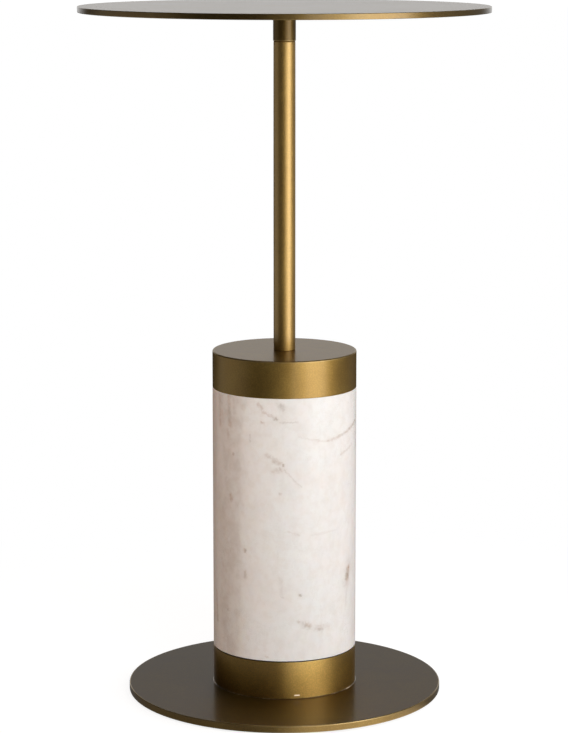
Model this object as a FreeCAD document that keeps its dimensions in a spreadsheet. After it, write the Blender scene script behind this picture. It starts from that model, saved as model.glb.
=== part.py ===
import FreeCAD, Part
import math
import os

import Sketcher

# A wine table: a round metal top on a slim stem, a marble cylinder clamped between two metal cups by a
# threaded rod, and a round base plate on felt pads. Millimetres, +Z up. The origin lies on the floor,
# on the axis that every turned piece shares.

driving_dimensions = {
    # Whole table
    "table_height": 610,
    "column_diameter": 127.2,
    # Felt pads under the base
    "pad_diameter": 25,
    "pad_thickness": 2,
    "pad_count": 4,
    "pad_rim_margin": 8,
    # Base plate
    "base_diameter": 279,
    "base_thickness": 6.3,
    "base_edge_chamfer": 0.7,
    # Cups below and above the marble
    "foot_cup_height": 33.6,
    "cap_height": 32.7,
    "cap_edge_chamfer": 0.7,
    "cup_wall": 2.5,
    "cup_top_thickness": 3,
    "foot_weld_leg": 1,
    # Marble and the sheets that cushion it
    "marble_length": 234,
    "bore_clearance": 2,
    "gasket_thickness": 0.8,
    "gasket_recess": 1.5,
    "clamp_pad_thickness": 1.5,
    # Clamp plate inside the cap
    "clamp_plate_thickness": 5,
    "clamp_margin": 16,
    # Tie rod with its nuts and washers
    "rod_diameter": 10,
    "rod_recess": 0.5,
    "rod_engagement": 22,
    "rod_hole_clearance": 0.4,
    "thread_clearance": 0.1,
    "rod_end_chamfer": 1,
    "nut_height": 8.4,
    "nut_wall": 3,
    "washer_thickness": 2,
    "washer_width": 4.6,
    "spring_washer_thickness": 2.2,
    "spring_washer_width": 3.6,
    "spring_washer_gap": 1.5,
    "spring_washer_slant": 1.2,
    # Stem and the plugs in its ends
    "stem_diameter": 19.2,
    "stem_wall": 1.6,
    "stem_end_chamfer": 0.6,
    "plug_clearance": 0.05,
    "plug_spare_length": 6,
    # Boss and stud under the top
    "boss_diameter": 19.8,
    "boss_length": 25,
    "stud_diameter": 10,
    "stud_boss_engagement": 17,
    "stud_plug_engagement": 20,
    "tapping_runout": 2,
    # Top plate
    "top_diameter": 357,
    "top_thickness": 5,
    "top_edge_chamfer": 0.4,
    # How far a cutting shape runs past what it cuts
    "cut_overrun": 2,
}

# How closely an edge has to match its worked-out radius and height to be picked for a chamfer
edge_match = 1e-4

doc = FreeCAD.newDocument("wine_table")
sizes = doc.addObject("Spreadsheet::Sheet", "sizes")
for row, (alias, dimension) in enumerate(driving_dimensions.items(), start=1):
    sizes.set(f"A{row}", alias)
    sizes.set(f"B{row}", str(dimension))
    sizes.setAlias(f"B{row}", alias)
doc.recompute()

# Levels of the seats, from the floor up, each standing on the one before it
base_bottom = "sizes.pad_thickness"
base_top = f"({base_bottom} + sizes.base_thickness)"
foot_cup_top = f"({base_top} + sizes.foot_cup_height)"
marble_bottom = f"({foot_cup_top} + sizes.gasket_thickness)"
marble_top = f"({marble_bottom} + sizes.marble_length)"
clamp_plate_bottom = f"({marble_top} + sizes.clamp_pad_thickness)"
clamp_washer_bottom = f"({clamp_plate_bottom} + sizes.clamp_plate_thickness)"
spring_washer_bottom = f"({clamp_washer_bottom} + sizes.washer_thickness)"
clamp_nut_bottom = f"({spring_washer_bottom} + sizes.spring_washer_thickness)"
cap_top = f"({marble_top} + sizes.cap_height)"
plate_bottom = "(sizes.table_height - sizes.top_thickness)"
stem_top = f"({plate_bottom} - sizes.boss_length)"

# Radii that several pieces share
column_radius = "sizes.column_diameter / 2"
tapped_radius = "(sizes.rod_diameter / 2 + sizes.thread_clearance)"
rod_hole_radius = "(sizes.rod_diameter / 2 + sizes.rod_hole_clearance)"
bore_radius = "(sizes.rod_diameter / 2 + sizes.bore_clearance)"
stud_hole_radius = "(sizes.stud_diameter / 2 + sizes.thread_clearance)"
stem_bore_radius = "(sizes.stem_diameter / 2 - sizes.stem_wall)"
clamp_radius = f"({column_radius} - sizes.cup_wall - sizes.clamp_margin)"


def number(formula):
    """The value that a formula of sheet cells comes to."""
    return float(sizes.evalExpression(formula))


def origin_feature(body, role):
    """The body's own origin plane or axis that has this role."""
    return next(feature for feature in body.Origin.OriginFeatures if feature.Role == role)


def new_piece(label, level="0"):
    """An empty body whose own zero stands at this level above the floor."""
    body = doc.addObject("PartDesign::Body", label)
    body.Label = label
    body.setExpression("Placement.Base.z", level)
    return body


def new_sketch(body, name, plane):
    """An empty sketch on one of the body's own origin planes."""
    sketch = body.newObject("Sketcher::SketchObject", name)
    sketch.AttachmentSupport = [(origin_feature(body, plane), "")]
    sketch.MapMode = "FlatFace"
    return sketch


def bind(sketch, name, constraint, formula):
    """Add a dimension to the sketch and tie it to a formula of sheet cells."""
    index = sketch.addConstraint(constraint)
    sketch.renameConstraint(index, name)
    sketch.setExpression(f"Constraints.{name}", formula)


def draw_loop(sketch, corners):
    """Draw a closed loop of straight lines whose corners are pairs of formulas, and bind each corner."""
    horizontal_axis, vertical_axis, start, end = -1, -2, 1, 2
    points = [FreeCAD.Vector(number(across), number(up), 0) for across, up in corners]
    first = sketch.GeometryCount
    for index, point in enumerate(points):
        sketch.addGeometry(Part.LineSegment(points[index - 1], point), False)
    for index, (across, up) in enumerate(corners):
        line = first + index
        following = first + (index + 1) % len(corners)
        sketch.addConstraint(Sketcher.Constraint("Coincident", line, end, following, start))
        if across == "0":
            sketch.addConstraint(Sketcher.Constraint("PointOnObject", line, end, vertical_axis))
        else:
            reach = Sketcher.Constraint("DistanceX", horizontal_axis, start, line, end, points[index].x)
            bind(sketch, f"across_{line}", reach, across)
        if up == "0":
            sketch.addConstraint(Sketcher.Constraint("PointOnObject", line, end, horizontal_axis))
        else:
            rise = Sketcher.Constraint("DistanceY", horizontal_axis, start, line, end, points[index].y)
            bind(sketch, f"up_{line}", rise, up)


def draw_circle(sketch, name, across, radius):
    """Draw a circle whose centre lies this far across, on the horizontal axis, and bind its place and radius."""
    horizontal_axis, start, middle = -1, 1, 3
    centre = FreeCAD.Vector(number(across), 0, 0)
    outline = Part.Circle(centre, FreeCAD.Vector(0, 0, 1), number(radius))
    circle = sketch.addGeometry(outline, False)
    if across == "0":
        sketch.addConstraint(Sketcher.Constraint("Coincident", circle, middle, horizontal_axis, start))
    else:
        sketch.addConstraint(Sketcher.Constraint("PointOnObject", circle, middle, horizontal_axis))
        reach = Sketcher.Constraint("DistanceX", horizontal_axis, start, circle, middle, centre.x)
        bind(sketch, f"{name}_reach", reach, across)
    bind(sketch, f"{name}_radius", Sketcher.Constraint("Radius", circle, number(radius)), radius)


def turn(label, level, profile):
    """A piece turned about the table's axis from a closed profile of (radius, height) formulas."""
    body = new_piece(label, level)
    sketch = new_sketch(body, f"{label}_profile", "XZ_Plane")
    draw_loop(sketch, profile)
    turning = body.newObject("PartDesign::Revolution", f"{label}_turning")
    turning.Profile = sketch
    turning.ReferenceAxis = (sketch, ["V_Axis"])
    doc.recompute()
    return body


def turn_ring(label, level, inner, outer, height):
    """A flat ring: a rectangle turned about the axis."""
    return turn(label, level, [(inner, "0"), (outer, "0"), (outer, height), (inner, height)])


def turn_rod(label, level, radius, height):
    """A solid round bar or disc on the axis."""
    return turn(label, level, [("0", "0"), (radius, "0"), (radius, height), ("0", height)])


def rim_edges(body, rims):
    """Names of the round edges of the body's last feature at the given (radius, height) formulas."""
    wanted = [(number(radius), number(height)) for radius, height in rims]
    names = []
    for index, edge in enumerate(body.Tip.Shape.Edges, start=1):
        if not isinstance(edge.Curve, Part.Circle):
            continue
        found = (edge.Curve.Radius, edge.Curve.Center.z)
        if any(math.dist(found, place) < edge_match for place in wanted):
            names.append(f"Edge{index}")
    return names


def chamfer_rims(body, leg, rims):
    """Break the named rims of the body with a chamfer of this leg."""
    edges = rim_edges(body, rims)
    chamfer = body.newObject("PartDesign::Chamfer", f"{body.Label}_chamfer")
    chamfer.Base = (chamfer.BaseFeature, edges)
    chamfer.setExpression("Size", leg)
    doc.recompute()


def make_felt_pads():
    """Self-adhesive felt discs, evenly spaced just inside the rim of the base plate."""
    pads = new_piece("felt_pads")
    pads.AllowCompound = True
    sketch = new_sketch(pads, "felt_pad_outline", "XY_Plane")
    reach = "sizes.base_diameter / 2 - sizes.pad_rim_margin - sizes.pad_diameter / 2"
    draw_circle(sketch, "pad", reach, "sizes.pad_diameter / 2")
    disc = pads.newObject("PartDesign::Pad", "felt_disc")
    disc.Profile = sketch
    disc.setExpression("Length", "sizes.pad_thickness")
    doc.recompute()
    ring = pads.newObject("PartDesign::PolarPattern", "felt_disc_ring")
    ring.Originals = [disc]
    ring.Axis = (origin_feature(pads, "Z_Axis"), [""])
    ring.setExpression("Occurrences", "sizes.pad_count")
    pads.Tip = ring
    doc.recompute()


def make_base_plate():
    """Round steel plate, tapped at its middle for the tie rod, with both edges of its rim eased."""
    radius = "sizes.base_diameter / 2"
    plate = turn_ring("base_plate", base_bottom, tapped_radius, radius, "sizes.base_thickness")
    chamfer_rims(plate, "sizes.base_edge_chamfer", [(radius, "0"), (radius, "sizes.base_thickness")])


def make_cup(label, level, height):
    """Spun cup with its open side down: a thin skirt under a flat top that the tie rod passes through."""
    inside = f"({column_radius} - sizes.cup_wall)"
    ceiling = f"({height} - sizes.cup_top_thickness)"
    return turn(label, level, [
        (rod_hole_radius, height),
        (column_radius, height),
        (column_radius, "0"),
        (inside, "0"),
        (inside, ceiling),
        (rod_hole_radius, ceiling),
    ])


def make_cap():
    """Cup on the marble's upper end, with the edge of its top eased."""
    cap = make_cup("cap", marble_top, "sizes.cap_height")
    chamfer_rims(cap, "sizes.cap_edge_chamfer", [(column_radius, "sizes.cap_height")])


def make_foot_weld():
    """Thin fillet of filler metal in the corner between the foot cup and the base plate."""
    outer = f"({column_radius} + sizes.foot_weld_leg)"
    turn("foot_weld", base_top, [
        (column_radius, "0"),
        (outer, "0"),
        (column_radius, "sizes.foot_weld_leg"),
    ])


def make_marble():
    """Marble cylinder, bored for the tie rod."""
    turn_ring("marble_column", marble_bottom, bore_radius, column_radius, "sizes.marble_length")


def make_cushions():
    """Rubber sheets on the two ends of the marble: one under it, one below the clamp plate."""
    gasket_radius = f"({column_radius} - sizes.gasket_recess)"
    turn_ring("foot_gasket", foot_cup_top, bore_radius, gasket_radius, "sizes.gasket_thickness")
    turn_ring("clamp_pad", marble_top, bore_radius, clamp_radius, "sizes.clamp_pad_thickness")


def make_clamp_plate():
    """Steel disc inside the cap that spreads the pull of the rod over the marble."""
    height = "sizes.clamp_plate_thickness"
    turn_ring("clamp_plate", clamp_plate_bottom, rod_hole_radius, clamp_radius, height)


def make_tie_rod():
    """Threaded rod from the base plate up through the column into the foot of the stem."""
    bottom = f"({base_bottom} + sizes.rod_recess)"
    length = f"({cap_top} + sizes.rod_engagement - {bottom})"
    radius = "sizes.rod_diameter / 2"
    rod = turn_rod("tie_rod", bottom, radius, length)
    chamfer_rims(rod, "sizes.rod_end_chamfer", [(radius, "0"), (radius, length)])


def make_washer(label, level):
    """Plain washer on the tie rod."""
    outer = f"({rod_hole_radius} + sizes.washer_width)"
    turn_ring(label, level, rod_hole_radius, outer, "sizes.washer_thickness")


def make_nut(label, level):
    """Hexagon nut on the tie rod, tapped through."""
    flats_radius = "(sizes.rod_diameter / 2 + sizes.nut_wall)"
    corner = f"({flats_radius} * 2 / sqrt(3))"
    nut = new_piece(label, level)
    outline = new_sketch(nut, f"{label}_outline", "XY_Plane")
    draw_loop(outline, [
        (corner, "0"),
        (f"{corner} / 2", flats_radius),
        (f"-{corner} / 2", flats_radius),
        (f"-{corner}", "0"),
        (f"-{corner} / 2", f"-{flats_radius}"),
        (f"{corner} / 2", f"-{flats_radius}"),
    ])
    draw_circle(outline, "hole", "0", tapped_radius)
    bar = nut.newObject("PartDesign::Pad", f"{label}_bar")
    bar.Profile = outline
    bar.setExpression("Length", "sizes.nut_height")
    doc.recompute()


def make_spring_washer():
    """Split spring washer, pressed flat, with a slanted gap on its +X side."""
    outer = f"({rod_hole_radius} + sizes.spring_washer_width)"
    thickness = "sizes.spring_washer_thickness"
    washer = turn_ring("spring_washer", spring_washer_bottom, rod_hole_radius, outer, thickness)
    whole_volume = washer.Shape.Volume
    gap = new_sketch(washer, "spring_washer_split", "YZ_Plane")
    half_gap = "sizes.spring_washer_gap / 2"
    half_slant = "sizes.spring_washer_slant / 2"
    draw_loop(gap, [
        (f"(-{half_gap} - {half_slant})", "0"),
        (f"({half_gap} - {half_slant})", "0"),
        (f"({half_gap} + {half_slant})", thickness),
        (f"(-{half_gap} + {half_slant})", thickness),
    ])
    cut = washer.newObject("PartDesign::Pocket", "spring_washer_cut")
    cut.Profile = gap
    cut.Reversed = True
    cut.setExpression("Length", f"{outer} + sizes.cut_overrun")
    doc.recompute()
    if cut.Shape.Volume >= whole_volume:
        raise RuntimeError("spring_washer: the split cuts nothing")


def make_stem():
    """Slim tube that stands on the cap, with a tapped plug in each end and a chamfered upper rim."""
    radius = "sizes.stem_diameter / 2"
    length = f"({stem_top} - {cap_top})"
    tube = turn_ring("stem_tube", cap_top, stem_bore_radius, radius, length)
    chamfer_rims(tube, "sizes.stem_end_chamfer", [(radius, length)])

    plug_radius = f"({stem_bore_radius} - sizes.plug_clearance)"
    lower_length = "(sizes.rod_engagement + sizes.plug_spare_length)"
    turn_ring("stem_lower_plug", cap_top, tapped_radius, plug_radius, lower_length)
    upper_length = "(sizes.stud_plug_engagement + sizes.plug_spare_length)"
    upper_bottom = f"({stem_top} - {upper_length})"
    turn_ring("stem_upper_plug", upper_bottom, stud_hole_radius, plug_radius, upper_length)


def make_top_stud():
    """Threaded stud that draws the boss down on the stem."""
    bottom = f"({stem_top} - sizes.stud_plug_engagement)"
    length = "(sizes.stud_plug_engagement + sizes.stud_boss_engagement)"
    radius = "sizes.stud_diameter / 2"
    turn_rod("top_stud", bottom, radius, length)


def make_top_boss():
    """Turned boss brazed under the top, drilled and tapped from below."""
    radius = "sizes.boss_diameter / 2"
    depth = "(sizes.stud_boss_engagement + sizes.tapping_runout)"
    turn("top_boss", stem_top, [
        ("0", depth),
        (stud_hole_radius, depth),
        (stud_hole_radius, "0"),
        (radius, "0"),
        (radius, "sizes.boss_length"),
        ("0", "sizes.boss_length"),
    ])


def make_top_plate():
    """Thin round top with both edges of its rim eased."""
    radius = "sizes.top_diameter / 2"
    plate = turn_rod("top_plate", plate_bottom, radius, "sizes.top_thickness")
    chamfer_rims(plate, "sizes.top_edge_chamfer", [(radius, "0"), (radius, "sizes.top_thickness")])


make_felt_pads()
make_base_plate()
make_cup("foot_cup", base_top, "sizes.foot_cup_height")
make_foot_weld()
make_washer("base_washer", base_top)
make_nut("base_nut", f"({base_top} + sizes.washer_thickness)")
make_tie_rod()
make_marble()
make_cushions()
make_clamp_plate()
make_washer("clamp_washer", clamp_washer_bottom)
make_spring_washer()
make_nut("clamp_nut", clamp_nut_bottom)
make_cap()
make_stem()
make_top_stud()
make_top_boss()
make_top_plate()
doc.recompute()

for item in doc.Objects:
    if "Invalid" in item.State or "Error" in item.State:
        raise RuntimeError(f"{item.Label} did not build: {item.State}")
pieces = [item for item in doc.Objects if item.isDerivedFrom("PartDesign::Body")]
for piece in pieces:
    if piece.Shape.isNull() or not piece.Shape.isValid():
        raise RuntimeError(f"{piece.Label} has no valid shape")

os.makedirs("parts", exist_ok=True)
for piece in pieces:
    piece.Shape.exportStep(f"parts/{piece.Label}.step")
    box = piece.Shape.optimalBoundingBox()
    print(f"{piece.Label}: {len(piece.Shape.Solids)} solid, z {box.ZMin:.2f} to {box.ZMax:.2f},"
          f" width {box.XLength:.2f}, volume {piece.Shape.Volume / 1000:.2f} cm3")
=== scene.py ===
import math

import bpy
import numpy as np
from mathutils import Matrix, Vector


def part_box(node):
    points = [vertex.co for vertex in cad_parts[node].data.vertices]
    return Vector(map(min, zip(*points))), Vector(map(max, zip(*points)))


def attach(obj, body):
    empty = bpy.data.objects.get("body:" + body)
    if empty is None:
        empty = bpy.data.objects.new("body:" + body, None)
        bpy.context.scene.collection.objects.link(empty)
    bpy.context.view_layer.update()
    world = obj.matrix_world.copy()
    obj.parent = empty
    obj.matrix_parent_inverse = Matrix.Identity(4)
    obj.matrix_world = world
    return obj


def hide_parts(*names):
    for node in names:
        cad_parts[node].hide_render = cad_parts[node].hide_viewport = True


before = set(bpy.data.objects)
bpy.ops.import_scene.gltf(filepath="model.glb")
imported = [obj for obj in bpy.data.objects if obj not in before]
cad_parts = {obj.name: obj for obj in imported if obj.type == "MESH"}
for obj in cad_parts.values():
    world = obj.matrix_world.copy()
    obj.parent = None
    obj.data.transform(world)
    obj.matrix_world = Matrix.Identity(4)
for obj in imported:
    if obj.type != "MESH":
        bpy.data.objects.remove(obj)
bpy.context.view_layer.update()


# Felt pads: four discs punched from pressed wool felt, stuck under the base plate just inside its rim.
# Weight and wear round their lower edges, and loose fibres leave the cut rim a little uneven.
felt_low, felt_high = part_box("felt_pads")
felt_diameter = 0.025
felt_radius = felt_diameter / 2
felt_reach = felt_high.x - felt_radius
felt_count = 4
felt_lower_edge = 0.0007
felt_upper_edge = felt_lower_edge / 3
felt_fringe = 0.00025
# Each wave of the fringe: how often it goes round a pad, and how far the pad's own turn shifts it
felt_waves = np.array([(7, 1), (17, 2), (31, 0)])
felt_steps = 96
felt_fibres_per_metre = 2600
felt_tufts_per_metre = 420
felt_nap = 0.0004
dark_felt = (0.030, 0.024, 0.020, 1)
light_felt = (0.085, 0.072, 0.062, 1)
same_point = 1e-9


def rounded_outline(corners, radii, arc_steps=6, guard_share=0.3):
    """Section of a turned piece: (radius, height) corners, each cut by an arc tangent to its two sides.

    The arc leaves the sides at radius / tan(half the corner's angle) from the corner. Its points swing
    evenly round its centre: the first spoke times sin((1 - t) sweep) plus the last spoke times
    sin(t sweep), over sin(sweep). A guard point stands just outside each end, so that flat sides shade
    flat. Returns the points and a weight for each, 1 on an arc and 0 beside it.
    """
    corners = np.asarray(corners, float)
    radii = np.asarray(radii, float)[:, None]
    back = np.roll(corners, 1, axis=0) - corners
    ahead = np.roll(corners, -1, axis=0) - corners
    back /= np.linalg.norm(back, axis=1, keepdims=True)
    ahead /= np.linalg.norm(ahead, axis=1, keepdims=True)
    half_angle = np.arccos(np.sum(back * ahead, axis=1, keepdims=True)) / 2
    inward = (back + ahead) / np.linalg.norm(back + ahead, axis=1, keepdims=True)
    centre = corners + inward * radii / np.sin(half_angle)
    reach = radii / np.tan(half_angle)
    first_spoke = corners + back * reach - centre
    last_spoke = corners + ahead * reach - centre
    sweep = math.pi - 2 * half_angle
    share = np.linspace(0, 1, arc_steps + 1)
    swing_off = (np.sin((1 - share) * sweep) / np.sin(sweep))[:, :, None]
    swing_on = (np.sin(share * sweep) / np.sin(sweep))[:, :, None]
    arcs = centre[:, None] + swing_off * first_spoke[:, None] + swing_on * last_spoke[:, None]
    guard = reach + guard_share * radii
    rows = np.concatenate([
        (corners + back * guard)[:, None],
        arcs,
        (corners + ahead * guard)[:, None],
    ], axis=1)
    points = rows.reshape(-1, 2)
    weight = np.tile(np.pad(np.ones(arc_steps + 1), 1), len(corners))
    apart = np.linalg.norm(points - np.roll(points, 1, axis=0), axis=1) > same_point
    return points[apart], weight[apart]


def disc_outline(inner, outer, low, high, radii):
    """Section of a disc or ring, from its inner lower corner outwards, up and back, with rounded corners."""
    return rounded_outline([(inner, low), (outer, low), (outer, high), (inner, high)], radii)


def even_turns(steps):
    """Angles evenly spaced once round."""
    return np.linspace(0, 2 * np.pi, steps, endpoint=False)


def turned_points(radius, height, angle):
    """Points of a grid round the table's axis: (radius cos(angle), radius sin(angle), height)."""
    axes = np.broadcast_arrays(radius * np.cos(angle), radius * np.sin(angle), height)
    return np.stack(axes, axis=-1).reshape(-1, 3)


def grid_quads(rows, columns, rows_meet=False):
    """Faces of a grid whose columns close into a ring. rows_meet also joins the last row to the first."""
    row = np.arange(rows if rows_meet else rows - 1)[:, None]
    column = np.arange(columns)[None, :]
    beside = (column + 1) % columns
    above = (row + 1) % rows
    corners = [
        row * columns + column,
        row * columns + beside,
        above * columns + beside,
        above * columns + column,
    ]
    return np.stack(corners, axis=-1).reshape(-1, 4)


def turned_surface(outline, turn_steps):
    """An outline carried round the table's axis: row i of the grid is outline point i, at even angles.

    An outline that begins and ends on the axis has one point there, with a fan of triangles round it.
    Any other outline is a closed loop, whose last row joins the first. Returns the points and a list of
    arrays of faces.
    """
    solid = outline[0, 0] < same_point
    rings = outline[1:-1] if solid else outline
    points = turned_points(rings[:, :1], rings[:, 1:], even_turns(turn_steps))
    faces = [grid_quads(len(rings), turn_steps, rows_meet=not solid)]
    if solid:
        column = np.arange(turn_steps)
        beside = (column + 1) % turn_steps
        top = (len(rings) - 1) * turn_steps
        lower_pole = np.full(turn_steps, len(points))
        upper_pole = lower_pole + 1
        points = np.concatenate([points, [(0, 0, outline[0, 1]), (0, 0, outline[-1, 1])]])
        faces.append(np.stack([lower_pole, beside, column], axis=-1))
        faces.append(np.stack([upper_pole, top + column, top + beside], axis=-1))
    return points, faces


def new_piece(name, points, faces, material, edge=None):
    """An object at the origin with this mesh and material, shaded smooth.

    faces is a list of arrays of corners. edge, where given, says how far each point is rubbed.
    """
    mesh = bpy.data.meshes.new(name)
    mesh.from_pydata(points.tolist(), [], [corners for block in faces for corners in block.tolist()])
    mesh.shade_smooth()
    if edge is not None:
        layer = mesh.attributes.new("edge", "FLOAT", "POINT")
        layer.data.foreach_set("value", edge.astype(np.float32))
    mesh.materials.append(material)
    piece = bpy.data.objects.new(name, mesh)
    bpy.context.scene.collection.objects.link(piece)
    return piece


def new_material(name):
    """A material with only its output and its main shader. Returns the material, its tree and the shader."""
    material = bpy.data.materials.new(name)
    material.use_nodes = True
    return material, material.node_tree, material.node_tree.nodes["Principled BSDF"]


def set_inputs(tree, node, inputs):
    """Link or set the named inputs of a node."""
    for socket, value in inputs.items():
        if isinstance(value, bpy.types.NodeSocket):
            tree.links.new(value, node.inputs[socket])
        else:
            node.inputs[socket].default_value = value


def add_node(tree, kind, inputs=None, **settings):
    """One node: settings are its options, and each input is a link from another socket or a plain value."""
    node = tree.nodes.new(f"ShaderNode{kind}")
    for option, value in settings.items():
        setattr(node, option, value)
    set_inputs(tree, node, inputs or {})
    return node


def object_place(tree):
    """Where a point lies in the table's own frame."""
    return add_node(tree, "TexCoord").outputs["Object"]


def noise(tree, place, per_metre, detail=3.0, roughness=0.5, distortion=0.0):
    """A cloudy value about one half, with this many clouds to the metre."""
    return add_node(tree, "TexNoise", {
        "Vector": place,
        "Scale": per_metre,
        "Detail": detail,
        "Roughness": roughness,
        "Distortion": distortion,
    }).outputs["Fac"]


def calculate(tree, operation, *terms):
    """The result of one sum on numbers and links."""
    return add_node(tree, "Math", dict(enumerate(terms)), operation=operation).outputs[0]


def remap(tree, value, span, result=(0.0, 1.0)):
    """A value carried from one span to another, with soft ends."""
    inputs = dict(enumerate((value, *span, *result)))
    return add_node(tree, "MapRange", inputs, interpolation_type="SMOOTHSTEP").outputs[0]


def mix_colours(tree, share, first, second, blend="MIX"):
    """A colour between two: share 0 gives the first, and share 1 the second, or both blended."""
    inputs = {0: share, 6: first, 7: second}
    return add_node(tree, "Mix", inputs, data_type="RGBA", blend_type=blend, clamp_result=True).outputs[2]


def bump(tree, height, strength, depth):
    """A normal tilted by a height pattern that is this deep, in metres."""
    return add_node(tree, "Bump", {"Height": height, "Strength": strength, "Distance": depth}).outputs[0]


def wool_felt():
    """Dark wool felt: matted fibres, lighter where they stand up, with a soft nap."""
    material, tree, shader = new_material("wool_felt")
    place = object_place(tree)
    fibres = noise(tree, place, felt_fibres_per_metre, detail=6, roughness=0.7, distortion=1.5)
    tufts = noise(tree, place, felt_tufts_per_metre)
    standing = remap(tree, fibres, (0.4, 0.75))
    share = calculate(tree, "ADD", standing, remap(tree, tufts, (0.5, 0.8), (0.0, 0.4)))
    set_inputs(tree, shader, {
        "Base Color": mix_colours(tree, share, dark_felt, light_felt),
        "Roughness": 1.0,
        "Sheen Weight": 0.5,
        "Sheen Roughness": 0.6,
        "Normal": bump(tree, fibres, 0.8, felt_nap),
    })
    return material


def felt_disc(turn):
    """One pad: a rounded disc section carried round the pad's middle, then set under the base at its turn.

    Its rim is drawn in: a point's reach shrinks by the fringe over the diameter, times 1 plus the mean of
    three sines of the angle round the pad, times the fourth power of its reach in pad radii.
    """
    edges = [0, felt_lower_edge, felt_upper_edge, 0]
    outline = disc_outline(0, felt_radius, felt_low.z, felt_high.z, edges)[0]
    points, faces = turned_surface(outline, felt_steps)
    angle = np.arctan2(points[:, 1], points[:, 0])[:, None]
    waves = np.sin(felt_waves[:, 0] * angle + felt_waves[:, 1] * turn).mean(axis=1)
    reach = np.hypot(points[:, 0], points[:, 1]) / felt_radius
    shrink = 1 - felt_fringe / felt_diameter * (1 + waves) * reach ** 4
    points[:, :2] *= shrink[:, None]
    points[:, :2] += felt_reach * np.array([math.cos(turn), math.sin(turn)])
    return points, faces


felt_discs = [felt_disc(turn) for turn in even_turns(felt_count)]
felt_points = np.stack([points for points, faces in felt_discs])
# The faces of each disc count on from the points of the discs before it
first_points = np.arange(len(felt_discs))[:, None, None] * felt_points.shape[1]
felt_faces = [(first_points + block).reshape(-1, block.shape[1]) for block in felt_discs[0][1]]
felt_pads = new_piece("felt_pads_soft", felt_points.reshape(-1, 3), felt_faces, wool_felt())
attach(felt_pads, "root")
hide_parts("felt_pads")


# Base plate: a disc cut from steel plate, its rim turned and eased, tapped in the middle for the tie rod.
# It is brass plated, darkened to an antique brown, rubbed back so that edges show yellow, and lacquered. The
# yellow edges are partly painted highlight, and the plate's brass is painted darker than the other pieces as
# shade.
base_low, base_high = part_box("base_plate")
rod_low, rod_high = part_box("tie_rod")
tapping_clearance = 0.0001
tapping_edge = 0.0004
base_edge = 0.0008
plate_steps = 512
brown_brass = (0.328, 0.196, 0.048, 1)
yellow_brass = (0.398, 0.251, 0.064, 1)
worn_brass = (0.60, 0.42, 0.165, 1)
brass_clouds_per_metre = 22
brass_specks_per_metre = 900
brass_grain_per_metre = 2600
brass_grain_depth = 0.00004
# From the darkest specks to the lightest, and from the least pale edges to the palest, partly wear and
# partly painted highlight
speck_tones = np.array([0.86, 1.1])
edge_wear_and_highlight = np.array([0.25, 0.8])
satin_spread = 0.03
lacquer_roughness = 0.18


def grey(tree, value):
    """The grey of this value."""
    return add_node(tree, "CombineColor", {0: value, 1: value, 2: value}).outputs[0]


def antique_brass(name, tone, wear=1.0, rubbed=0.0, satin=0.47, lacquer=0.75, slant=1.0):
    """Darkened brass under clear lacquer: slow clouds of brown and yellow, a fine satin grain of specks, and
    edges paler where the surface carries an edge weight, partly rubbed wear and partly painted highlight
    along the arrises.

    tone is how light this piece's brass is painted. It is set piece by piece to how lit or shaded the piece
    looks: painted light on the foot, stem, cap and base rim, painted shade on the base and boss. wear is how
    pale its edges are, rubbed how far the whole of it was rubbed back, satin its roughness, lacquer how much
    of it is coated, and slant how brightly it mirrors at a low angle.
    """
    material, tree, shader = new_material(name)
    place = object_place(tree)
    clouds = noise(tree, place, brass_clouds_per_metre, detail=4, roughness=0.6, distortion=0.4)
    specks = noise(tree, place, brass_specks_per_metre, detail=2, roughness=0.6)
    grain = noise(tree, place, brass_grain_per_metre, detail=2)
    colour = mix_colours(tree, remap(tree, clouds, (0.3, 0.72)), brown_brass, yellow_brass)
    lightness = remap(tree, specks, (0.35, 0.75), speck_tones * tone)
    colour = mix_colours(tree, 1.0, colour, grey(tree, lightness), "MULTIPLY")
    # Pale edges: partly rubbed wear, partly painted highlight along the arrises
    edge = add_node(tree, "Attribute", attribute_name="edge").outputs["Fac"]
    pale = calculate(tree, "MULTIPLY", edge, remap(tree, clouds, (0.25, 0.6), edge_wear_and_highlight * wear))
    uneven = calculate(tree, "ADD", clouds, specks)
    set_inputs(tree, shader, {
        "Base Color": mix_colours(tree, calculate(tree, "MAXIMUM", pale, rubbed), colour, worn_brass),
        "Metallic": 1.0,
        "Roughness": remap(tree, uneven, (0.7, 1.3), (satin - satin_spread, satin + satin_spread)),
        "Specular Tint": (slant, slant, slant, 1),
        "Coat Weight": lacquer,
        "Coat Roughness": lacquer_roughness,
        "Normal": bump(tree, grain, 0.12, brass_grain_depth),
    })
    return material


def brass_piece(name, section, turn_steps, finish):
    """A turned piece of brass: its outline carried round the axis, worn where the outline's weight says."""
    outline, weight = section
    points, faces = turned_surface(outline, turn_steps)
    on_axis = outline[:, 0] < same_point
    edge = np.repeat(weight[~on_axis], turn_steps)
    edge = np.append(edge, np.zeros(len(points) - len(edge)))
    return new_piece(name, points, faces, finish, edge)


def finish_rim(piece, radius, material):
    """Give the faces whose middles lie beyond this radius a finish of their own."""
    polygons = piece.data.polygons
    middles = np.empty(3 * len(polygons))
    polygons.foreach_get("center", middles)
    across, along = middles.reshape(-1, 3).T[:2]
    piece.data.materials.append(material)
    polygons.foreach_set("material_index", (np.hypot(across, along) > radius).astype(np.int32))


base_section = disc_outline(
    rod_high.x + tapping_clearance,
    base_high.x,
    base_low.z,
    base_high.z,
    [tapping_edge, base_edge, base_edge, tapping_edge],
)
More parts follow.
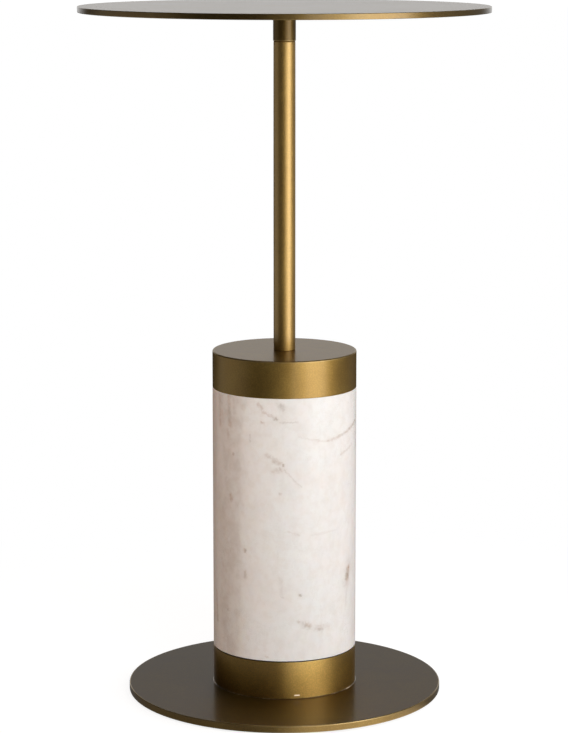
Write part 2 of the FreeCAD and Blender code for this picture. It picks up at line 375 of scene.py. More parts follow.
# Painted light and shade: the base's brass is painted dark, and its rim much lighter, to how lit each looks
base_finish = antique_brass("antique_brass_base", tone=0.5, satin=0.6, lacquer=0.28, slant=0.67)
base_rim = antique_brass("antique_brass_base_rim", tone=1.12, satin=0.38, lacquer=0.9, slant=0.5)
base_plate = brass_piece("base_plate_turned", base_section, plate_steps, base_finish)
finish_rim(base_plate, base_high.x - base_edge, base_rim)
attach(base_plate, "root")
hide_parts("base_plate")


# Foot cup: a shallow cup spun from sheet steel, open side down, plated like the base that it is welded to.
# The tie rod passes through a hole in its flat top, which carries the marble. Low on its front a short pale
# dash is a painted glint.
cup_low, cup_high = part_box("foot_cup")
cup_wall = 0.0025
cup_top_thickness = 0.003
rod_hole_clearance = 0.0004
foot_edge = 0.0004
cup_skirt_edge = 0.0004
cup_inner_bend = 0.0012
column_steps = 384
glint_across = 0.011
glint_rise = 0.0034
glint_half_length = 0.0028
glint_half_width = 0.0009
glint_full_length_share = 0.7
glint_full_width_share = 0.3
# Pale, dull colour of the weld's residue and of the painted highlight and glints on the weld and the foot
pale_residue_and_glint_colour = (0.95, 0.78, 0.56, 1)


def cup_section(low, high, upper_edge):
    """Section of a cup, open side down, with a hole in its top for the tie rod."""
    hole = rod_high.x + rod_hole_clearance
    inside = high.x - cup_wall
    ceiling = high.z - cup_top_thickness
    corners = [
        (hole, ceiling),
        (inside, ceiling),
        (inside, low.z),
        (high.x, low.z),
        (high.x, high.z),
        (hole, high.z),
    ]
    edges = [cup_skirt_edge, cup_inner_bend, cup_skirt_edge, cup_skirt_edge, upper_edge, cup_skirt_edge]
    return rounded_outline(corners, edges)


def paint_pale_residue_and_glint(material, weight):
    """Paint a pale, dull colour over a finish, by a weight between 0 and 1: residue on the weld, and painted
    highlight and glints on the weld and the foot.
    """
    tree = material.node_tree
    shader = tree.nodes["Principled BSDF"]
    finish = shader.inputs["Base Color"].links[0].from_socket
    set_inputs(tree, shader, {
        "Base Color": mix_colours(tree, weight, finish, pale_residue_and_glint_colour),
        "Metallic": calculate(tree, "SUBTRACT", 1.0, weight),
    })


def brass_with_painted_glint():
    """The foot's finish with a painted glint: a short level dash, pale and dull, close above the base."""
    # Painted light: the foot's brass is painted far lighter than the base it is welded to, to how lit it
    # looks
    material = antique_brass(
        "antique_brass_foot",
        tone=2.1,
        rubbed=0.1,
        satin=0.38,
        lacquer=0.5,
        slant=0.55,
    )
    tree = material.node_tree
    axes = add_node(tree, "SeparateXYZ", {0: object_place(tree)}).outputs
    # The painted glint: a short level dash low on the front
    aside = calculate(tree, "ABSOLUTE", calculate(tree, "SUBTRACT", axes[0], glint_across))
    above = calculate(tree, "ABSOLUTE", calculate(tree, "SUBTRACT", axes[2], cup_low.z + glint_rise))
    front = calculate(tree, "LESS_THAN", axes[1], 0.0)
    along = remap(tree, aside, (glint_half_length, glint_full_length_share * glint_half_length))
    across = remap(tree, above, (glint_half_width, glint_full_width_share * glint_half_width))
    dash = calculate(tree, "MULTIPLY", along, across)
    paint_pale_residue_and_glint(material, calculate(tree, "MULTIPLY", dash, front))
    return material


foot_section = cup_section(cup_low, cup_high, foot_edge)
foot_cup = brass_piece("foot_cup_spun", foot_section, column_steps, brass_with_painted_glint())
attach(foot_cup, "root")
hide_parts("foot_cup")


# Foot weld: a thin hand-laid seam in the corner between foot cup and base, plated over with them.
# Its width wanders. It is pale in places: pale residue on the front-left, painted highlight on its lit right
# and a painted glint at its far left.
weld_low, weld_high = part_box("foot_weld")
weld_leg = weld_high.z - weld_low.z
weld_least_share = 0.45
weld_hollow_share = 0.55
weld_steps = 720
weld_section_steps = 10
weld_patches_per_metre = 400
# Each wave of its width: how often it goes round, where it starts in radians, and its height
weld_waves = np.array([(5, 0.7, 1.0), (13, 2.1, 0.8), (31, 0.0, 0.6), (67, 1.3, 0.5)])
# Where the bead is painted pale: degrees round from the front, spread in degrees, and how much. The rows at
# 63 and 44 degrees are painted highlight on the lit right, -80 is a painted glint, and -14 and -42 are
# residue
weld_pale_and_glints = np.array([(63, 9, 0.5), (44, 3, 0.4), (-14, 10, 0.12), (-42, 14, 0.1), (-80, 6, 0.25)])


def weld_surface():
    """A hollow bead in the corner. Its leg is the full leg times a share that swings between the least
    share and 1, by a weighted mean of sines of the angle. Its section runs from the plate over the crown
    to the cup wall: a straight line, drawn towards the corner by a factor that is the square root of 1
    less the hollow share of a half sine wave.

    Returns points, faces and how pale each point is painted, partly residue and partly painted highlight and
    glint: the largest of e to the power of minus the square of (turn from a pale place / its spread), times
    how much that place is painted pale.
    """
    angle = even_turns(weld_steps)
    count, start, height = weld_waves.T
    swing = np.sin(count * angle[:, None] + start) @ height / height.sum()
    leg = weld_leg * (1 - (1 - weld_least_share) * (1 - swing) / 2)
    share = np.linspace(1, 0, weld_section_steps)[:, None]
    hollow = np.sqrt(1 - weld_hollow_share * np.sin(share * np.pi))
    corner = np.zeros((1, weld_steps))
    outward = np.concatenate([corner, leg * share * hollow])
    upward = np.concatenate([corner, leg * (1 - share) * hollow])
    points = turned_points(cup_high.x + outward, weld_low.z + upward, angle)
    turn = np.degrees((angle + 1.5 * np.pi) % (2 * np.pi) - np.pi)[:, None]
    place, spread, amount = weld_pale_and_glints.T
    rubbed = (amount * np.exp(-((turn - place) / spread) ** 2)).max(axis=1)
    return points, [grid_quads(len(outward), weld_steps, rows_meet=True)], np.tile(rubbed, len(outward))


def weld_with_pale_and_glints():
    """Dark brass painted pale in patches where the bead's edge weight says: residue on the front-left,
    painted highlight and a painted glint elsewhere.
    """
    material = antique_brass("antique_brass_weld", tone=0.5, wear=0.0)
    tree = material.node_tree
    rubbed = add_node(tree, "Attribute", attribute_name="edge").outputs["Fac"]
    patches = noise(tree, object_place(tree), weld_patches_per_metre, detail=2)
    patches = remap(tree, patches, (0.4, 0.55), (0.35, 1.0))
    # Pale patches: residue on the front-left, painted highlight on the lit right, a painted glint at the far
    # left
    paint_pale_residue_and_glint(material, calculate(tree, "MULTIPLY", rubbed, patches))
    return material


points, faces, edge = weld_surface()
foot_weld = new_piece("foot_weld_bead", points, faces, weld_with_pale_and_glints(), edge)
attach(foot_weld, "root")
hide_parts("foot_weld")


# Clamp hardware: zinc-plated steel nuts, washers, clamp plate and stem plugs, on the tie rod and the top
# stud. It all sits inside the cups and the stem, so its solids serve as they are.
zinc_light = (0.66, 0.66, 0.64, 1)
zinc_dark = (0.46, 0.47, 0.47, 1)
zinc_patches_per_metre = 160
zinc_marks_per_metre = 500
zinc_marks_squeeze = 12
zinc_mark_depth = 0.00005
zinc_pieces = (
    "base_washer",
    "base_nut",
    "clamp_plate",
    "clamp_washer",
    "spring_washer",
    "clamp_nut",
    "stem_lower_plug",
    "stem_upper_plug",
)


def squeezed(tree, place, upright):
    """A place with its height scaled: more than 1 squeezes a pattern there, less than 1 draws it out."""
    return add_node(tree, "Mapping", {"Vector": place, "Scale": (1, 1, upright)}).outputs[0]


def zinc_plate():
    """Bright zinc on steel: cool grey patches, fine turning marks as slight bumps, and a soft sheen."""
    material, tree, shader = new_material("zinc_plate")
    place = object_place(tree)
    patches = noise(tree, place, zinc_patches_per_metre, detail=4, roughness=0.6)
    marks = noise(tree, squeezed(tree, place, zinc_marks_squeeze), zinc_marks_per_metre, detail=2)
    set_inputs(tree, shader, {
        "Base Color": mix_colours(tree, remap(tree, patches, (0.35, 0.65)), zinc_dark, zinc_light),
        "Metallic": 1.0,
        "Roughness": remap(tree, patches, (0.3, 0.7), (0.28, 0.45)),
        "Normal": bump(tree, marks, 0.2, zinc_mark_depth),
    })
    return material


zinc = zinc_plate()
for name in zinc_pieces:
    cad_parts[name].material_slots[0].material = zinc


# Tie rod and top stud: zinc-plated steel bars with rolled metric threads. The rod clamps the whole
# column together, and the stud joins the stem to the boss under the top.
nut_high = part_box("base_nut")[1]
clamp_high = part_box("clamp_plate")[1]
stud_low, stud_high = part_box("top_stud")
thread_pitch = 0.0015
thread_depth_share = 0.61
thread_runout = 2 * thread_pitch
thread_end = 0.001
thread_turn_steps = 40
thread_rows_per_pitch = 6
height_digits = 7


def threaded_bar(low, high, threaded_spans):
    """A round bar: at height z and turn a its radius is the full radius, less the thread's depth times a
    triangle wave of z / pitch - a / 2 pi inside the threaded spans, and no more than the chamfer at each
    end leaves."""
    spans = np.array(threaded_spans)
    row_gap = thread_pitch / thread_rows_per_pitch
    fine = [np.arange(start, end, row_gap) for start, end in spans]
    height = np.unique(np.concatenate([*fine, [low.z, high.z]]).round(height_digits))[:, None]
    angle = even_turns(thread_turn_steps)
    wave = np.abs((height / thread_pitch - angle / (2 * np.pi)) % 1 * 2 - 1)
    inside = np.any((height >= spans[:, 0]) & (height <= spans[:, 1]), axis=1, keepdims=True)
    radius = high.x - thread_pitch * thread_depth_share * wave * inside
    to_end = np.minimum(height - low.z, high.z - height)
    radius = np.minimum(radius, high.x - np.clip(thread_end - to_end, 0, None))
    lower_end = np.arange(thread_turn_steps)[None]
    upper_end = lower_end + (len(height) - 1) * thread_turn_steps
    faces = [grid_quads(len(height), thread_turn_steps), lower_end[:, ::-1], upper_end]
    return turned_points(radius, height, angle), faces


rod_threads = [(rod_low.z, nut_high.z + thread_runout), (clamp_high.z, rod_high.z)]
stud_threads = [(stud_low.z, stud_high.z)]
tie_rod = new_piece("tie_rod_threaded", *threaded_bar(rod_low, rod_high, rod_threads), zinc)
top_stud = new_piece("top_stud_threaded", *threaded_bar(stud_low, stud_high, stud_threads), zinc)
for piece, node in ((tie_rod, "tie_rod"), (top_stud, "top_stud")):
    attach(piece, "root")
    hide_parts(node)


# Rubber cushions: two discs cut from black sheet rubber, one under the marble and one below the clamp plate,
# so that the stone never bears on bare metal. The clamping presses their rims out a little, and the lower
# one leaves a thin dark line round the seam.
rubber_colour = (0.018, 0.017, 0.016, 1)
rubber_bloom = (0.045, 0.043, 0.041, 1)
rubber_bloom_per_metre = 90
rubber_pebbles_per_metre = 3000
rubber_pebble_depth = 0.0001
bore_clearance = 0.002
cushion_rim_share = 0.38
cushion_bulge = 0.0008


def sheet_rubber():
    """Matt black rubber with a faint grey bloom and a fine pebbled face."""
    material, tree, shader = new_material("sheet_rubber")
    place = object_place(tree)
    bloom = noise(tree, place, rubber_bloom_per_metre, detail=4, roughness=0.6)
    pebbles = noise(tree, place, rubber_pebbles_per_metre, detail=2)
    set_inputs(tree, shader, {
        "Base Color": mix_colours(tree, remap(tree, bloom, (0.45, 0.75)), rubber_colour, rubber_bloom),
        "Roughness": remap(tree, bloom, (0.3, 0.7), (0.7, 0.9)),
        "Normal": bump(tree, pebbles, 0.4, rubber_pebble_depth),
    })
    return material


def cushion_surface(low, high):
    """A flat ring carried round the axis, pressed out a little at its rim, with its corners rounded by a
    share of its thickness."""
    edges = [cushion_rim_share * (high.z - low.z)] * 4
    outline = disc_outline(rod_high.x + bore_clearance, high.x + cushion_bulge, low.z, high.z, edges)[0]
    return turned_surface(outline, column_steps)


rubber = sheet_rubber()
for node in ("foot_gasket", "clamp_pad"):
    cushion = new_piece(f"{node}_pressed", *cushion_surface(*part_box(node)), rubber)
    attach(cushion, "root")
    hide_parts(node)


# Marble column: a cylinder turned from white marble, bored for the tie rod, its arrises broken and its side
# polished to a soft gloss. The stone is warm white, with pinkish clouds, thin grey-brown veins and flecks.
# A brown band down its left is painted shade, where the side turns away from the soft box.
marble_low, marble_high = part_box("marble_column")
marble_arris = 0.0003
marble_white = (0.80, 0.775, 0.745, 1)
marble_pink = (0.785, 0.73, 0.69, 1)
marble_cream = (0.76, 0.725, 0.665, 1)
marble_grey = (0.735, 0.705, 0.675, 1)
marble_tan = (0.71, 0.645, 0.585, 1)
marble_vein = (0.36, 0.285, 0.225, 1)
marble_rust = (0.44, 0.29, 0.20, 1)
marble_clouds_per_metre = 17
marble_drifts_per_metre = 34
marble_drift_squeeze = 0.45
marble_streaks_per_metre = 110
marble_streak_squeeze = 0.5
marble_mottle_per_metre = 150
marble_crystals_per_metre = 1400
marble_crystal_depth = 0.00003
marble_glow_depth = 0.004
cloud_middle = 0.5
# The painted shade down the left side, a brown band where it turns from the light: where it fades in and
# out, in radians round from the front
painted_shade_left_border = (-1.15, -0.95)
painted_shade_right_border = (-0.50, -0.68)
painted_shade_wander = 0.5
painted_shade_patches_per_metre = 75
# Faint veins on the back half, which fade in behind the axis
back_veins_per_metre = 13
back_vein_breaks_per_metre = 30
back_vein_start = (0.0, 0.03)
back_vein_spread = 0.02
back_vein_darkness = 0.14
# The fraying of the single veins and flecks below, and the patches of their colour
fray_per_metre = 420
fray_reach = 0.0055
mark_patches_per_metre = 330
mark_rust_per_metre = 70
# Each vein or fleck: its two ends as (degrees round from the front, metres above the floor), half its width
# in metres, and how dark it is
marble_marks = [
    # Brown streaks high on the left
    ((-63, 0.274), (-62, 0.248), 0.0026, 0.44),
    ((-50, 0.275), (-48, 0.250), 0.0022, 0.44),
    ((-44, 0.275), (-43, 0.262), 0.0022, 0.24),
    ((-51, 0.245), (-50, 0.239), 0.0019, 0.40),
    # Broken vein down from the cap, left of the middle
    ((-21, 0.272), (-18, 0.268), 0.0017, 0.40),
    ((-17, 0.265), (-6, 0.259), 0.0012, 0.34),
    ((-7, 0.2595), (-6, 0.259), 0.0014, 0.75),
    ((-18, 0.2562), (-17, 0.2558), 0.0012, 0.80),
    ((-3, 0.271), (-1, 0.268), 0.0023, 0.45),
    ((-3, 0.256), (10, 0.2565), 0.0008, 0.30),
    ((-28, 0.244), (-28, 0.238), 0.0009, 0.35),
    # Long curved vein high on the right, with its branch
    ((78, 0.249), (55, 0.241), 0.0014, 0.60),
    ((55, 0.241), (36, 0.2375), 0.0013, 0.42),
    ((36, 0.2375), (22, 0.240), 0.0010, 0.24),
    ((22, 0.240), (12, 0.243), 0.0009, 0.16),
    ((68, 0.229), (50, 0.223), 0.0012, 0.30),
    # Smudge and dark pinhole in the middle
    ((-14, 0.227), (-4, 0.221), 0.0019, 0.38),
    ((-8, 0.222), (-4, 0.2205), 0.0023, 0.48),
    ((-1.2, 0.2184), (-0.9, 0.2178), 0.0009, 1.00),
    ((-3, 0.2155), (-2, 0.2135), 0.0010, 0.45),
    ((-9, 0.213), (-3, 0.2145), 0.0021, 0.32),
    ((0, 0.214), (13, 0.199), 0.0008, 0.26),
    ((-4, 0.1935), (-3, 0.193), 0.0010, 0.35),
    # Scattered flecks on the left
    ((-45, 0.2252), (-44.5, 0.2245), 0.0009, 0.60),
    ((-47.5, 0.1875), (-47, 0.1835), 0.0020, 0.60),
    ((-33, 0.1405), (-32.5, 0.1395), 0.0014, 0.75),
    ((-33, 0.121), (-32.5, 0.117), 0.0018, 0.42),
    ((-60, 0.128), (-58, 0.122), 0.0018, 0.25),
    ((-52, 0.0842), (-51.5, 0.0832), 0.0010, 0.45),
    ((-71, 0.095), (-69, 0.069), 0.0014, 0.50),
    # Faint arcs across the middle
    ((3, 0.1595), (11, 0.1562), 0.0010, 0.20),
    ((22, 0.1555), (44, 0.157), 0.0009, 0.14),
    # Dark upright eye on the right and the soft line below it
    ((62.5, 0.1185), (60.0, 0.1095), 0.0036, 1.00),
    ((63.5, 0.1215), (59.0, 0.1070), 0.0065, 0.32),
    ((60, 0.105), (58, 0.086), 0.0018, 0.16),
    # Low flecks
    ((12, 0.1028), (12.5, 0.1022), 0.0012, 0.70),
    ((-2, 0.1014), (-1.7, 0.1008), 0.0008, 0.40),
    ((-3, 0.118), (-2.5, 0.104), 0.0024, 0.18),
    ((11, 0.0785), (12, 0.0780), 0.0012, 0.40),
    ((15, 0.0758), (20, 0.0735), 0.0025, 0.58),
    ((28, 0.0708), (31, 0.0703), 0.0025, 0.54),
    ((25, 0.0712), (37, 0.0715), 0.0028, 0.25),
    ((-15, 0.0468), (-14, 0.0462), 0.0009, 0.45),
]


def vector(tree, operation, *terms):
    """One sum on vectors and links. Returns the node's outputs."""
    return add_node(tree, "VectorMath", dict(enumerate(terms)), operation=operation).outputs


def stroke_group():
    """A soft stroke on the unrolled side: e to the power of minus the square of gap / half width.

    The gap is measured from the line between two ends. Its nearest point is the first end plus a share of
    the line: the dot product of the offset and the line, over the line's square, kept between 0 and 1.
    """
    group = bpy.data.node_groups.new("marble_stroke", "ShaderNodeTree")
    sockets = {"Place": "Vector", "Start": "Vector", "Line": "Vector", "Half Width": "Float"}
    for name, kind in sockets.items():
        group.interface.new_socket(name, in_out="INPUT", socket_type=f"NodeSocket{kind}")
    group.interface.new_socket("Strength", in_out="OUTPUT", socket_type="NodeSocketFloat")
    given = group.nodes.new("NodeGroupInput").outputs
    offset = vector(group, "SUBTRACT", given["Place"], given["Start"])[0]
    along = vector(group, "DOT_PRODUCT", offset, given["Line"])["Value"]
    square = vector(group, "DOT_PRODUCT", given["Line"], given["Line"])["Value"]
    share = add_node(group, "Math", {0: along, 1: square}, operation="DIVIDE", use_clamp=True).outputs[0]
    scaled = {0: given["Line"], "Scale": share}
    nearest = add_node(group, "VectorMath", scaled, operation="SCALE").outputs[0]
    gap = vector(group, "DISTANCE", offset, nearest)["Value"]
    widths = calculate(group, "DIVIDE", gap, given["Half Width"])
    minus_square = calculate(group, "MULTIPLY", calculate(group, "MULTIPLY", widths, widths), -1.0)
    near = calculate(group, "EXPONENT", minus_square)
    group.links.new(near, group.nodes.new("NodeGroupOutput").inputs[0])
    return group


def marble_strokes(tree, place, turn, height):
    """How dark the veins and flecks are: the darkest stroke at each point of the unrolled side.

    The unrolled side has arc length across and height up. Noise shifts its points, so that the strokes
    fray.
    """
    across = calculate(tree, "MULTIPLY", turn, marble_high.x)
    unrolled = add_node(tree, "CombineXYZ", {0: across, 1: height}).outputs[0]
    fray = add_node(tree, "TexNoise", {
        "Vector": place,
        "Scale": fray_per_metre,
        "Detail": 4,
        "Roughness": 0.65,
    }).outputs["Color"]
    either_way = vector(tree, "SUBTRACT", fray, (cloud_middle, cloud_middle, cloud_middle))[0]
    frayed = vector(tree, "MULTIPLY_ADD", either_way, (fray_reach, fray_reach, 0.0), unrolled)[0]
    group = stroke_group()
    darkest = 0.0
    for *ends, half_width, darkness in marble_marks:
        start, end = [np.array((math.radians(degrees) * marble_high.x, rise, 0)) for degrees, rise in ends]
        stroke = add_node(tree, "Group", node_tree=group)
        set_inputs(tree, stroke, {
            "Place": frayed,
            "Start": start,
            "Line": end - start,
            "Half Width": half_width,
        })
        dark = calculate(tree, "MULTIPLY", stroke.outputs[0], darkness)
        darkest = calculate(tree, "MAXIMUM", darkest, dark)
    return darkest


def left_painted_shade(tree, place, turn, drifts):
    """How strong the painted shade on the left side is: brown patches between two upright borders that
    wander with the drifts.
    """
    sway = calculate(tree, "SUBTRACT", drifts, cloud_middle)
    wander = calculate(tree, "MULTIPLY_ADD", sway, painted_shade_wander, turn)
    left, right = [remap(tree, wander, border) for border in (painted_shade_left_border, painted_shade_right_border)]
    patches = noise(tree, place, painted_shade_patches_per_metre, detail=4, roughness=0.6)
    patches = remap(tree, patches, (0.35, 0.65), (0.16, 0.32))
    return calculate(tree, "MULTIPLY", calculate(tree, "MULTIPLY", left, right), patches)


def back_veins(tree, place, behind):
    """How dark the faint veins on the back are: lines where a cloud pattern crosses its middle value."""
    pattern = noise(tree, place, back_veins_per_metre, detail=4, roughness=0.55, distortion=1.2)
    crossing = calculate(tree, "ABSOLUTE", calculate(tree, "SUBTRACT", pattern, cloud_middle))
    thin = remap(tree, crossing, (0.0, back_vein_spread), (back_vein_darkness, 0.0))
    breaks = remap(tree, noise(tree, place, back_vein_breaks_per_metre), (0.48, 0.66))
    broken = calculate(tree, "MULTIPLY", breaks, remap(tree, behind, back_vein_start))
    return calculate(tree, "MULTIPLY", thin, broken)


def marble_stone():
    """White marble: layers of pink, cream, grey and tan clouds, then painted shade down the left, the veins
    and the flecks.
    """
    material, tree, shader = new_material("white_marble")
    place = object_place(tree)
    x, y, z = add_node(tree, "SeparateXYZ", {0: place}).outputs
    turn = calculate(tree, "ARCTAN2", x, calculate(tree, "MULTIPLY", y, -1.0))
    clouds = noise(tree, place, marble_clouds_per_metre, detail=5, roughness=0.6, distortion=0.8)
    drift_place = squeezed(tree, place, marble_drift_squeeze)
    drifts = noise(tree, drift_place, marble_drifts_per_metre, detail=4, roughness=0.6)
    streak_place = squeezed(tree, place, marble_streak_squeeze)
    streaks = noise(tree, streak_place, marble_streaks_per_metre, detail=5, roughness=0.65)
    mottle = noise(tree, place, marble_mottle_per_metre, detail=4, roughness=0.6)
    crystals = noise(tree, place, marble_crystals_per_metre, roughness=0.6)
    layers = [
        (remap(tree, clouds, (0.42, 0.7), (0.0, 0.8)), marble_pink),
        (remap(tree, drifts, (0.5, 0.78), (0.0, 0.6)), marble_cream),
        (remap(tree, streaks, (0.42, 0.68), (0.0, 0.55)), marble_grey),
        (remap(tree, mottle, (0.42, 0.68), (0.0, 0.34)), marble_tan),
        # Painted shade: a brown band down the left side, where the stone turns away from the light
        (left_painted_shade(tree, place, turn, drifts), marble_vein),
        (back_veins(tree, place, y), marble_vein),
    ]
    colour = marble_white
    for share, tint in layers:
        colour = mix_colours(tree, share, colour, tint)
    patchy = remap(tree, noise(tree, place, mark_patches_per_metre), (0.36, 0.6), (0.6, 1.0))
    marks = calculate(tree, "MULTIPLY", marble_strokes(tree, place, turn, z), patchy)
    rusty = remap(tree, noise(tree, place, mark_rust_per_metre, detail=2), (0.4, 0.6))
    colour = mix_colours(tree, marks, colour, mix_colours(tree, rusty, marble_vein, marble_rust))
    uneven = calculate(tree, "ADD", clouds, crystals)
    set_inputs(tree, shader, {
        "Base Color": colour,
        "Roughness": remap(tree, uneven, (0.7, 1.3), (0.26, 0.36)),
        "Normal": bump(tree, crystals, 0.05, marble_crystal_depth),
        "Subsurface Weight": 0.2,
        "Subsurface Radius": (1.0, 0.55, 0.35),
        "Subsurface Scale": marble_glow_depth,
    })
    return material


marble_outline = disc_outline(
    rod_high.x + bore_clearance,
    marble_high.x,
    marble_low.z,
    marble_high.z,
    [marble_arris] * 4,
)[0]
marble_surface = turned_surface(marble_outline, column_steps)
marble_column = new_piece("marble_column_polished", *marble_surface, marble_stone())
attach(marble_column, "root")
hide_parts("marble_column")


# Cap: the same spun cup as the foot's, a little shallower, dropped over the clamp nut on the marble's upper
# end. The stem stands on it and holds it down.
cap_low, cap_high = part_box("cap")
cap_edge = 0.0012

# Painted light: the cap's brass is painted lighter, to how lit it looks
cap_finish = antique_brass("antique_brass_cap", tone=1.24, lacquer=0.39, slant=0.54)
cap = brass_piece("cap_spun", cup_section(cap_low, cap_high, cap_edge), column_steps, cap_finish)
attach(cap, "root")
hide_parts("cap")


# Stem: a length of steel tube with both ends eased, plated like the rest, screwed down on the tie rod
# by the tapped plug in its foot.
stem_low, stem_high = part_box("stem_tube")
stem_wall = 0.0016
stem_top_edge = 0.001
stem_foot_edge = 0.0005
stem_bore_edge = 0.0003
stem_steps = 128

stem_section = disc_outline(
    stem_high.x - stem_wall,
    stem_high.x,
    stem_low.z,
    stem_high.z,
    [stem_bore_edge, stem_foot_edge, stem_top_edge, stem_bore_edge],
)
# Painted light: the stem's brass is painted lighter, to how lit it looks
stem_finish = antique_brass("antique_brass_stem", tone=1.7, rubbed=0.2, satin=0.5)
stem_tube = brass_piece("stem_tube_plated", stem_section, stem_steps, stem_finish)
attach(stem_tube, "root")
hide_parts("stem_tube")


# Boss: a short turned collar brazed under the top, drilled and tapped from below for the stud. It is a hair
# wider than the stem that it meets.
boss_low, boss_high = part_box("top_boss")
boss_edge = 0.0007
boss_top_edge = 0.0002
tapping_runout = 0.002
drilled = stud_high.x + tapping_clearance
drilled_top = stud_high.z + tapping_runout

boss_section = rounded_outline(
    [
        (0, drilled_top),
        (drilled, drilled_top),
        (drilled, boss_low.z),
        (boss_high.x, boss_low.z),
        (boss_high.x, boss_high.z),
        (0, boss_high.z),
    ],
    [0, tapping_edge, tapping_edge, boss_edge, boss_top_edge, 0],
)
# Painted shade: the boss's brass is painted darker, as it stands in the top's shade
boss_finish = antique_brass("antique_brass_boss", tone=0.6, satin=0.53, lacquer=0.38)
top_boss = brass_piece("top_boss_turned", boss_section, stem_steps, boss_finish)
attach(top_boss, "root")
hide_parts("top_boss")


# Top: a thin disc cut from steel plate, flat enough for a glass, its rim turned and softly rounded. It is
# plated and darkened like the base, and brazed to the boss beneath it.
top_low, top_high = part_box("top_plate")
top_edge = 0.0005

top_section = disc_outline(0, top_high.x, top_low.z, top_high.z, [0, top_edge, top_edge, 0])
top_finish = antique_brass(
    "antique_brass_top",
    tone=0.72,
    wear=0.15,
    satin=0.42,
    lacquer=0.55,
    slant=0.78,
)
top_rim = antique_brass(
    "antique_brass_top_rim",
    tone=0.68,
    wear=0.5,
    satin=0.36,
    lacquer=0.8,
    slant=0.5,
)
top_plate = brass_piece("top_plate_turned", top_section, plate_steps, top_finish)
finish_rim(top_plate, top_high.x - top_edge, top_rim)
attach(top_plate, "root")
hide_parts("top_plate")


# Floor: a white studio floor that isn't part of the table. To the camera it glows just short of white, and
# the lamps bring the rest, so that the table's soft shadow stays. In metal it mirrors dimly, but brightly
# before the soft box, and from below it lets the view through.
floor_radius = 0.9
floor_steps = 96
floor_glow = 0.86
floor_tone = 0.22
floor_dim = 0.07
floor_shade_reach = 0.25
floor_white_reach = 0.62
floor_mirror_glow = 0.09
floor_lit_glow = 0.75
floor_lit_aim = (0.545, -0.839, 0.0)
floor_lit_span = (0.77, 0.98)


def facing(tree, aim, direction):
    """How squarely an aim points in a direction: 1 along it and 0 across it."""
    return vector(tree, "DOT_PRODUCT", aim, direction)["Value"]


def seen_directly(tree):
    """1 for what the camera sees, straight or through clear pieces, and 0 for what lights or mirrors."""
    path = add_node(tree, "LightPath").outputs
    return calculate(tree, "MAXIMUM", path["Is Camera Ray"], path["Is Transmission Ray"])


def white_floor():
    """Matt white. The camera sees a glow plus a share of the lamplight that falls on it, and metal mirrors
    a glow that rises towards the soft box."""
    material, tree, shader = new_material("studio_floor")
    place = object_place(tree)
    seen = seen_directly(tree)
    white = remap(tree, vector(tree, "LENGTH", place)["Value"], (floor_shade_reach, floor_white_reach))
    seen_tone = calculate(tree, "MULTIPLY_ADD", white, -floor_tone, floor_tone)
    seen_glow = calculate(tree, "MULTIPLY_ADD", white, 1 - floor_glow, floor_glow)
    tone = add_node(tree, "MapRange", {0: seen, 3: floor_dim, 4: seen_tone}).outputs[0]
    towards_box = facing(tree, vector(tree, "NORMALIZE", place)[0], floor_lit_aim)
    lit = remap(tree, towards_box, floor_lit_span, (floor_mirror_glow, floor_lit_glow))
    in_metal = add_node(tree, "LightPath").outputs["Is Glossy Ray"]
    mirrored = calculate(tree, "MULTIPLY", in_metal, lit)
    set_inputs(tree, shader, {
        "Base Color": grey(tree, tone),
        "Roughness": 1.0,
        "Specular IOR Level": 0.0,
        "Emission Color": (1, 1, 1, 1),
        "Emission Strength": calculate(tree, "MULTIPLY_ADD", seen, seen_glow, mirrored),
    })
    under = add_node(tree, "NewGeometry").outputs["Backfacing"]
    clear = add_node(tree, "BsdfTransparent").outputs[0]
    blend = add_node(tree, "MixShader", {0: under, 1: shader.outputs[0], 2: clear}).outputs[0]
    tree.links.new(blend, tree.nodes["Material Output"].inputs["Surface"])
    return material


floor_rim = turned_points(floor_radius, 0.0, even_turns(floor_steps))
floor = new_piece("studio_floor", floor_rim, [np.arange(floor_steps)[None]], white_floor())


# Studio light: a low soft box with a brighter core, right of the camera, and four fills that only matt
# surfaces see. The room is white behind the table and dim elsewhere, with soft glows on the left, on the
# right and round the soft box. The camera sees it as plain white, and the metal mirrors it as it is.
fill_distance = 1.52
fill_target = (0, 0, 0.2)
fill_size = 1.2
# Soft boxes: degrees round from the front, distance, height, width, upright size and power
soft_boxes = {
    "soft_box": (42, 1.6, 0.42, 1.9, 1.1, 8.8),
    "soft_box_core": (50, 1.55, 0.36, 0.95, 0.9, 5.7),
}
# Fills: degrees round from the front, height, power and colour
fills = {
    "left_fill": (-72, 0.65, 10.4, (1.0, 0.74, 0.58)),
    "front_fill": (10, 1.1, 18.6, (1.0, 1.0, 1.0)),
    "right_fill": (105, 0.65, 12.6, (1.0, 0.92, 0.92)),
    "back_fill": (180, 0.65, 9, (1.0, 0.95, 0.90)),
}
# The room by direction, each part with the span over which it fades in
wall_glow = 1.0
wall_sides = (0.74, 0.97)
wall_foot = (-0.09, -0.03)
wall_head = (0.55, 0.36)
room_glow = 0.04
left_glow = 0.45
left_glow_aim = (-0.985, 0.10, -0.14)
left_glow_span = (0.7, 0.98)
left_glow_head = (0.02, -0.1)
right_glow = 0.18
right_glow_aim = (0.9, 0.43, 0.0)
right_glow_span = (0.72, 0.97)
box_halo = 0.16
box_halo_aim = (0.69, -0.65, 0.3)
box_halo_span = (0.3, 0.92)
# Upwards the wall dims to this share of its light, as far as this height
wall_dimmed_share = 0.95
wall_dimmed_height = 0.27


def place_round(degrees, distance, height):
    """A place so many degrees round from the front to the right, at a distance from the table's axis."""
    turn = math.radians(degrees)
    return distance * math.sin(turn), -distance * math.cos(turn), height


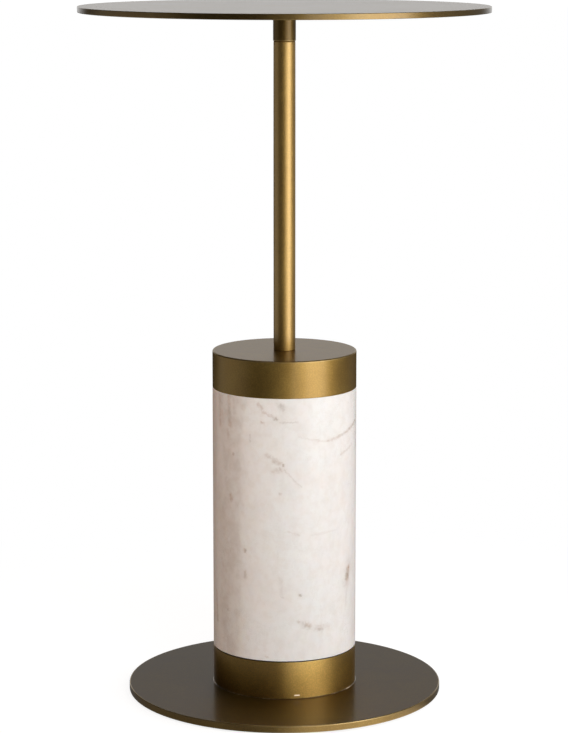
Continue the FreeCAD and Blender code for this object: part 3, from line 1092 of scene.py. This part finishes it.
def area_lamp(name, place, target, width, tall, power, colour=(1, 1, 1)):
    """A soft rectangular lamp at a place, turned to face a target."""
    lamp_data = bpy.data.lights.new(name, "AREA")
    lamp_data.shape = "RECTANGLE"
    lamp_data.size = width
    lamp_data.size_y = tall
    lamp_data.energy = power
    lamp_data.color = colour
    lamp = bpy.data.objects.new(name, lamp_data)
    lamp.location = place
    away = np.subtract(place, target)
    across = math.hypot(away[0], away[1])
    lamp.rotation_euler = (math.atan2(across, away[2]), 0, math.atan2(away[0], -away[1]))
    bpy.context.scene.collection.objects.link(lamp)
    return lamp


def studio_room(world):
    """Light by direction: a white wall behind that dims a little upwards, a dim room, a low glow on the
    left, a glow on the right and a halo round the soft box. What the camera sees directly is white."""
    world.use_nodes = True
    tree = world.node_tree
    aim = add_node(tree, "TexCoord").outputs["Generated"]
    x, y, z = add_node(tree, "SeparateXYZ", {0: aim}).outputs
    down = add_node(tree, "MapRange", {0: z, 2: wall_dimmed_height, 3: 1.0, 4: 0.0}).outputs[0]
    low_share = calculate(tree, "POWER", down, 2.0)
    fade = calculate(tree, "MULTIPLY_ADD", low_share, 1 - wall_dimmed_share, wall_dimmed_share)
    head = remap(tree, z, wall_head, (0.0, wall_glow))
    ends = calculate(tree, "MULTIPLY", remap(tree, z, wall_foot), head)
    behind = calculate(tree, "MULTIPLY", fade, remap(tree, y, wall_sides))
    light = calculate(tree, "MULTIPLY", behind, ends)
    beside = remap(tree, facing(tree, aim, left_glow_aim), left_glow_span)
    low_left = calculate(tree, "MULTIPLY", beside, remap(tree, z, left_glow_head))
    room = calculate(tree, "MULTIPLY_ADD", low_left, left_glow, room_glow)
    halo = remap(tree, facing(tree, aim, box_halo_aim), box_halo_span, (0.0, box_halo))
    right = remap(tree, facing(tree, aim, right_glow_aim), right_glow_span, (0.0, right_glow))
    for glow in (room, halo, right):
        light = calculate(tree, "ADD", light, glow)
    light = calculate(tree, "MAXIMUM", light, seen_directly(tree))
    set_inputs(tree, tree.nodes["Background"], {"Strength": light, "Color": (1, 1, 1, 1)})


for name, (degrees, distance, height, width, tall, power) in soft_boxes.items():
    area_lamp(name, place_round(degrees, distance, height), (0, 0, height), width, tall, power)
for name, (degrees, height, power, colour) in fills.items():
    place = place_round(degrees, fill_distance, height)
    fill = area_lamp(name, place, fill_target, fill_size, fill_size, power, colour)
    fill.visible_glossy = False
world = bpy.data.worlds.new("studio_room")
studio_room(world)
bpy.context.scene.world = world
bpy.context.scene.view_settings.view_transform = "Standard"


# Camera: a long lens a little above the top, looking slightly down, as the photograph was taken.
# It stands straight before the table, and its frame cuts close to the top and the base.
camera_place = (-0.0004, -2.2417, 0.6897)
camera_tilt = math.radians(79.992)
camera_lens = 126.52

camera_data = bpy.data.cameras.new("camera")
camera_data.lens = camera_lens
camera = bpy.data.objects.new("camera", camera_data)
camera.location = camera_place
camera.rotation_euler = (camera_tilt, 0, 0)
bpy.context.scene.collection.objects.link(camera)
bpy.context.scene.camera = camera
